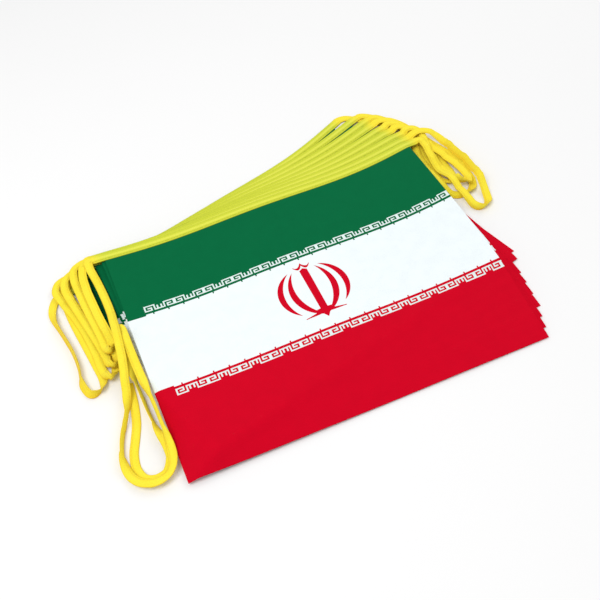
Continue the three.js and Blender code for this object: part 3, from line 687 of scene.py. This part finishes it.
class Shader:
    """A material, with short names for the nodes that work its colour out."""

    def __init__(self, name, roughness, sheen):
        self.material = bpy.data.materials.new(name)
        self.material.use_nodes = True
        self.tree = self.material.node_tree
        self.surface = self.tree.nodes["Principled BSDF"]
        self.surface.inputs["Roughness"].default_value = roughness
        self.surface.inputs["Sheen Weight"].default_value = sheen
        self.surface.inputs["Sheen Roughness"].default_value = 0.5
        self.surface.inputs["Specular IOR Level"].default_value = 0.05

    def put(self, socket, value):
        if isinstance(value, bpy.types.NodeSocket):
            self.tree.links.new(value, socket)
        else:
            socket.default_value = value

    def node(self, kind, inputs=(), **settings):
        made = self.tree.nodes.new(kind)
        for key, value in settings.items():
            setattr(made, key, value)
        for key, value in dict(inputs).items():
            self.put(made.inputs[key], value)
        return made

    def math(self, operation, *values):
        return self.node("ShaderNodeMath", enumerate(values), operation=operation).outputs[0]

    def add(self, a, b):
        return self.math("ADD", a, b)

    def sub(self, a, b):
        return self.math("SUBTRACT", a, b)

    def mul(self, a, b):
        return self.math("MULTIPLY", a, b)

    def low(self, *values):
        found = values[0]
        for value in values[1:]:
            found = self.math("MINIMUM", found, value)
        return found

    def high(self, *values):
        found = values[0]
        for value in values[1:]:
            found = self.math("MAXIMUM", found, value)
        return found

    def above(self, value, limit=0.0):
        return self.math("GREATER_THAN", value, limit)

    def ramp(self, value, low, high, to_low=0.0, to_high=1.0):
        inputs = {"Value": value, "From Min": low, "From Max": high, "To Min": to_low, "To Max": to_high}
        return self.node("ShaderNodeMapRange", inputs, interpolation_type="SMOOTHSTEP").outputs[0]

    def blend(self, factor, a, b, kind="MIX"):
        made = self.node("ShaderNodeMix", data_type="RGBA", blend_type=kind)
        for socket, value in zip((made.inputs[0], made.inputs[6], made.inputs[7]), (factor, a, b)):
            self.put(socket, value)
        return made.outputs[2]

    def noise(self, vector, scale, detail=2.0):
        inputs = {"Vector": vector, "Scale": scale, "Detail": detail, "Roughness": 0.55}
        return self.node("ShaderNodeTexNoise", inputs).outputs[0]

    def cloth_millimetres(self):
        """The place on the flat cloth, in millimetres: along it and across it."""
        uv = self.node("ShaderNodeUVMap", uv_map="cloth").outputs[0]
        parts = self.node("ShaderNodeSeparateXYZ", {0: uv})
        return uv, self.mul(parts.outputs[0], 1 / MM), self.mul(parts.outputs[1], 1 / MM)

    def box(self, x, y, x0, x1, y0, y1):
        """More than 0 inside a rectangle."""
        wide = self.sub((x1 - x0) / 2, self.math("ABSOLUTE", self.sub(x, (x0 + x1) / 2)))
        tall = self.sub((y1 - y0) / 2, self.math("ABSOLUTE", self.sub(y, (y0 + y1) / 2)))
        return self.low(wide, tall)

    def disc(self, x, y, centre, radius):
        """The distance inside a circle's edge."""
        dx, dy = self.sub(x, centre[0]), self.sub(y, centre[1])
        return self.sub(radius, self.math("SQRT", self.add(self.mul(dx, dx), self.mul(dy, dy))))

    def base(self, colour):
        self.put(self.surface.inputs["Base Color"], colour)

    def base_shaded(self, colour, shade):
        """The colour, made lighter and darker by `shade`."""
        grey = self.node("ShaderNodeCombineColor", {0: shade, 1: shade, 2: shade}).outputs[0]
        self.base(self.blend(1.0, colour, grey, "MULTIPLY"))

    def bump(self, height, strength, distance):
        inputs = {"Height": height, "Strength": strength, "Distance": distance}
        self.put(self.surface.inputs["Normal"], self.node("ShaderNodeBump", inputs).outputs[0])


def bowed(tip, foot, rise):
    """The circle through two points that stands out by `rise` to the right of the line between them."""
    (ax, ay), (bx, by) = tip, foot
    chord = math.hypot(bx - ax, by - ay)
    out = ((ay - by) / chord, (bx - ax) / chord)
    radius = (chord * chord / 4 + rise * rise) / (2 * rise)
    return ((ax + bx) / 2 + out[0] * (rise - radius), (ay + by) / 2 + out[1] * (rise - radius)), radius


# The flag's emblem, in millimetres. All but its own middle is given from that middle, and each crescent
# lies between two circles through its tips.
EMBLEM = (139.6, 109.2)  # its middle, along the print and up from the hem
EMBLEM_STRETCH = (0.97, 1.04)
CRESCENTS = [
    dict(tip=(12.9, 22.2), foot=(17.9, -18.9), outer=13.6, inner=8.7),
    dict(tip=(9.6, 21.6), foot=(0.0, -24.6), outer=14.4, inner=9.2),
]
BLADE_TOP = 22.6
BLADE_FOOT = -27.4
TOP_SLOPE = 0.55  # fall of the blade's top for each millimetre sideways
FOOT_SLOPE = 0.72  # half width that the blade gains for each millimetre above its foot
BASE_TOP = -18.0  # top of the broad foot where the crescents join the blade
BASE_SLOPE = 1.1
CROWN_HEIGHT = 23.2  # lowest height of the double curve over the top
CROWN_MIDDLE = 3.9  # from the blade to the lowest place of each half
CROWN_END = 7.1
CROWN_CURVE = 0.24
STROKE_HEIGHT = -21.9  # the thin strokes at the bottom
STROKE_START = 3.0
STROKE_END = 17.0
STROKE_FALL = 0.09
# A plain fret for the borders: one step's bars, in millimetres along it and into the colour.
FRET_START, FRET_STEP = 14.6, 12.0
FRET = [
    dict(along=(0.0, 8.6), into=(6.9, 8.0)),
    dict(along=(0.0, 1.2), into=(2.2, 8.0)),
    dict(along=(0.0, 6.2), into=(2.2, 3.3)),
    dict(along=(5.0, 6.2), into=(2.2, 5.6)),
    dict(along=(2.6, 6.2), into=(4.5, 5.6)),
    dict(along=(7.6, 8.7), into=(2.2, 8.0)),
    dict(along=(9.9, 11.1), into=(2.2, 6.4)),
    dict(along=(8.6, 12.0), into=(2.2, 3.3)),
]
TICK_WIDTH = 1.1
TICK_REACH = 1.5  # how far each tick reaches into the white
PLAIN_REACH = 1.3  # how far the colour does, where the fret hasn't started


def emblem(s, x, y):
    """1 on the emblem and 0 elsewhere. It is the same on both sides of its middle."""
    x, y = [s.mul(s.sub(v, centre), 1 / by) for v, centre, by in zip((x, y), EMBLEM, EMBLEM_STRETCH)]
    side = s.math("ABSOLUTE", x)
    outer, inner = (
        [s.disc(side, y, *bowed(row["tip"], row["foot"], row[edge])) for row in CRESCENTS]
        for edge in ("outer", "inner")
    )
    shapes = [s.low(a, s.mul(b, -1.0)) for a, b in zip(outer, inner)]
    # The upright blade, with a shallow point at its top and a sharp one at its foot.
    sharp = s.sub(s.mul(s.sub(y, BLADE_FOOT), FOOT_SLOPE), side)
    blade = s.low(
        s.sub(s.ramp(y, -20, 20, 3.0, 3.3), side),
        s.sub(s.sub(BLADE_TOP, s.mul(side, TOP_SLOPE)), y),
        sharp,
    )
    # The broad foot, inside the inner crescent's outer edge.
    foot = s.low(
        sharp,
        s.sub(s.mul(s.sub(BASE_TOP, y), BASE_SLOPE), s.mul(side, 0.1)),
        outer[1],
    )
    # The double curve over the top, and the two thin strokes at the bottom.
    cup = s.math("ABSOLUTE", s.sub(side, CROWN_MIDDLE))
    curve = s.sub(s.add(CROWN_HEIGHT, s.mul(s.mul(cup, cup), CROWN_CURVE)), y)
    thin = s.sub(s.ramp(side, 2, 7.0, 1.35, 0.55), s.math("ABSOLUTE", curve))
    crown = s.low(thin, s.sub(CROWN_END, side))
    droop = s.sub(s.add(STROKE_HEIGHT, s.mul(s.sub(side, STROKE_START), -STROKE_FALL)), y)
    thin = s.sub(s.ramp(side, 5, 17, 1.15, 0.35), s.math("ABSOLUTE", droop))
    stroke = s.low(thin, s.sub(STROKE_END, side))
    return s.above(s.high(*shapes, blade, foot, crown, stroke))


def printed_cloth(name):
    s = Shader(name, 0.85, 0.03)
    uv, x, y = s.cloth_millimetres()
    height = FLAG_HEIGHT - TAPE_WIDTH + TUCK
    # Distance past the white band's edge, on either side of it.
    into = s.sub(s.math("ABSOLUTE", s.sub(y, height / 2)), height / 6)
    along = s.sub(x, FRET_START)
    plain_edge = s.mul(s.math("LESS_THAN", along, 0.0), PLAIN_REACH)
    coloured = s.above(s.add(into, plain_edge))
    in_step = s.math("MODULO", s.add(along, 4 * FRET_STEP), FRET_STEP)
    from_tick = s.math("ABSOLUTE", s.sub(in_step, FRET_STEP / 2))
    tick = s.low(s.sub(TICK_WIDTH / 2, from_tick), s.add(into, TICK_REACH), along)
    coloured = s.high(coloured, s.above(tick))
    step = s.math("PINGPONG", along, FRET_STEP)
    bars = [s.box(step, into, *row["along"], *row["into"]) for row in FRET]
    bar = s.above(s.low(s.high(*bars), along))
    is_green = s.above(y, height / 2)
    strong = s.blend(is_green, linear(RED), linear(GREEN))
    colour = s.blend(coloured, linear(WHITE), strong)
    colour = s.blend(emblem(s, x, y), colour, linear(RED))
    colour = s.blend(bar, colour, linear(FRET_LINE))
    # The weave: threads both ways, a little uneven in colour and thickness.
    threads = s.mul(
        s.math("SINE", s.mul(x, 2 * math.pi / WEAVE_PITCH)),
        s.math("SINE", s.mul(y, 2 * math.pi / WEAVE_PITCH)),
    )
    speckle = s.noise(uv, 1500.0, 1.0)
    patch = s.noise(uv, 90.0, 3.0)
    shade = s.add(s.ramp(speckle, 0.3, 0.7, 0.96, 1.03), s.mul(threads, 0.03))
    shade = s.add(shade, s.ramp(patch, 0.3, 0.7, -0.015, 0.02))
    s.base_shaded(colour, shade)
    s.bump(s.add(threads, s.mul(speckle, 1.2)), 0.35, 0.00012)
    return s.material


def ribbon_cloth(name):
    """Yellow ribbon with fine cross ribs and painted shade at its edges, seam and lower halves. Over a flag
    it is greener, with a brighter ridge and painted shade along its seam and rim.
    """
    s = Shader(name, 0.7, 0.05)
    uv, along, across = s.cloth_millimetres()
    over = s.node("ShaderNodeAttribute", attribute_name="over").outputs["Fac"]
    painted_shade = s.node("ShaderNodeAttribute", attribute_name="painted_shade").outputs["Fac"]
    ribs = s.math("SINE", s.mul(along, 2 * math.pi / RIB_PITCH))
    lines = s.math("SINE", s.mul(across, 2 * math.pi / LINE_PITCH))
    speckle = s.noise(uv, 1100.0, 2.0)
    patch = s.noise(uv, 45.0, 3.0)
    from_middle = s.math("ABSOLUTE", across)
    ridge = s.ramp(s.math("ABSOLUTE", s.sub(across, 0.2)), 0.3, 1.9, 1.0, 0.0)
    # Painted shade along the row of stitches.
    seam_shade = s.ramp(s.math("ABSOLUTE", s.add(across, SEAM)), 0.1, 0.9, 1.0, 0.0)
    # Painted shade: the free ribbon is darker towards both its edges.
    edge = s.ramp(from_middle, 3.2, EDGE)
    # Painted shadow: over a flag the ribbon is darker at its very edges, where one length meets the next.
    rim = s.ramp(from_middle, 3.55, EDGE)
    free = s.blend(s.ramp(patch, 0.35, 0.75, 0.0, 0.3), linear(YELLOW), linear(YELLOW_PATCH))
    # Painted shade on the free ribbon: along its seam, towards its edges, and on the lower half of its
    # upright lengths.
    free = s.blend(s.mul(seam_shade, 0.3), free, linear(YELLOW_PAINTED_SHADE))
    free = s.blend(s.mul(edge, 0.35), free, linear(YELLOW_PAINTED_SHADE))
    free = s.blend(s.mul(painted_shade, 0.6), free, linear(YELLOW_PAINTED_SHADE))
    sewn = s.blend(s.mul(ridge, 0.6), linear(YELLOW_OVER_GREEN), linear(RIDGE_OVER_GREEN))
    # Painted shade along the seam and painted shadow along the rim, where the ribbon is over a flag.
    sewn = s.blend(s.mul(seam_shade, 0.45), sewn, linear(SEAM_SHADE_OVER_GREEN))
    sewn = s.blend(s.mul(rim, 0.75), sewn, linear(RIM_SHADE_OVER_GREEN))
    colour = s.blend(over, free, sewn)
    shade = s.add(s.ramp(speckle, 0.3, 0.7, 0.92, 1.05), s.mul(s.mul(ribs, lines), 0.03))
    s.base_shaded(colour, shade)
    s.bump(s.add(s.add(ribs, s.mul(lines, 0.7)), speckle), 0.4, 0.0001)
    return s.material


def thread(name):
    s = Shader(name, 0.5, 0.1)
    place = s.node("ShaderNodeTexCoord").outputs["Object"]
    twist = s.noise(place, 2500.0, 1.0)
    s.base(s.blend(twist, linear(THREAD_DARK), linear(THREAD_LIGHT)))
    s.bump(twist, 0.3, 0.00005)
    return s.material


def plain_floor(name):
    s = Shader(name, 0.9, 0.0)
    place = s.node("ShaderNodeTexCoord").outputs["Object"]
    s.base(s.blend(s.noise(place, 3.0), *FLOOR_GREYS))
    return s.material


# ---- Camera, light and floor ----
LENS = 47.0
CAMERA_PLACE = (15.4, -235.7, 493.7)  # in millimetres, in the layout
CAMERA_FORWARD = (0.1845, 0.5644, -0.8046)
CAMERA_UP = (0.3599, 0.723, 0.5897)
FLOOR_HALF = 6.0
FLOOR_DROP = 0.0003  # keeps the floor clear of the lowest cloth
SKY_STRENGTH = 0.62
# Each soft light's name, place, size and power. They point at the middle of the part.
LIGHTS = [
    ("key", (-0.5, -0.2, 1.3), 0.7, 9),
    ("fill", (0.9, 0.5, 1.0), 0.8, 3),
]


def look_at_photo():
    data = bpy.data.cameras.new("camera")
    data.sensor_width = 36
    data.lens = LENS
    data.clip_start = 0.01
    camera = bpy.data.objects.new("camera", data)
    forward = Vector(CAMERA_FORWARD).normalized()
    up = Vector(CAMERA_UP)
    right = forward.cross(up).normalized()
    up = right.cross(forward)
    place = (Vector(CAMERA_PLACE) + SHIFT) * MM
    turn = Matrix((right, up, -forward)).transposed().to_4x4()
    camera.matrix_world = Matrix.Translation(place) @ turn
    bpy.context.scene.collection.objects.link(camera)
    bpy.context.scene.camera = camera


def soft_light(name, place, size, power):
    data = bpy.data.lights.new(name, "AREA")
    data.shape = "SQUARE"
    data.size = size
    data.energy = power
    lamp = bpy.data.objects.new(name, data)
    lamp.location = place
    aim = Vector((0, 0, 0)) - Vector(place)
    lamp.rotation_euler = aim.to_track_quat("-Z", "Y").to_euler()
    bpy.context.scene.collection.objects.link(lamp)


def stage():
    mesh = bpy.data.meshes.new("floor")
    signs = ((-1, -1), (1, -1), (1, 1), (-1, 1))
    corners = [(x * FLOOR_HALF, y * FLOOR_HALF, -FLOOR_DROP) for x, y in signs]
    mesh.from_pydata(corners, [], [(0, 1, 2, 3)])
    mesh.materials.append(plain_floor("floor_paper"))
    floor = bpy.data.objects.new("floor", mesh)
    bpy.context.scene.collection.objects.link(floor)
    world = bpy.data.worlds.new("studio")
    world.use_nodes = True
    background = world.node_tree.nodes["Background"]
    background.inputs["Color"].default_value = (1, 1, 1, 1)
    background.inputs["Strength"].default_value = SKY_STRENGTH
    bpy.context.scene.world = world
    for light in LIGHTS:
        soft_light(*light)


# ---- The part ----
def build():
    cloth = printed_cloth("printed_polyester")
    for index in range(len(FLAGS)):
        obj = flag_object(index, cloth)
    sections = oriented(tape_sections())
    ribbon = tape_object(sections, ribbon_cloth("folded_ribbon"))
    stitches = stitches_object(sections, thread("sewing_thread"))


# The default view greys such bright dyes, and these colours are the cloth's own.
bpy.context.scene.view_settings.view_transform = "Standard"
look_at_photo()
stage()
build()
bpy.context.view_layer.update()
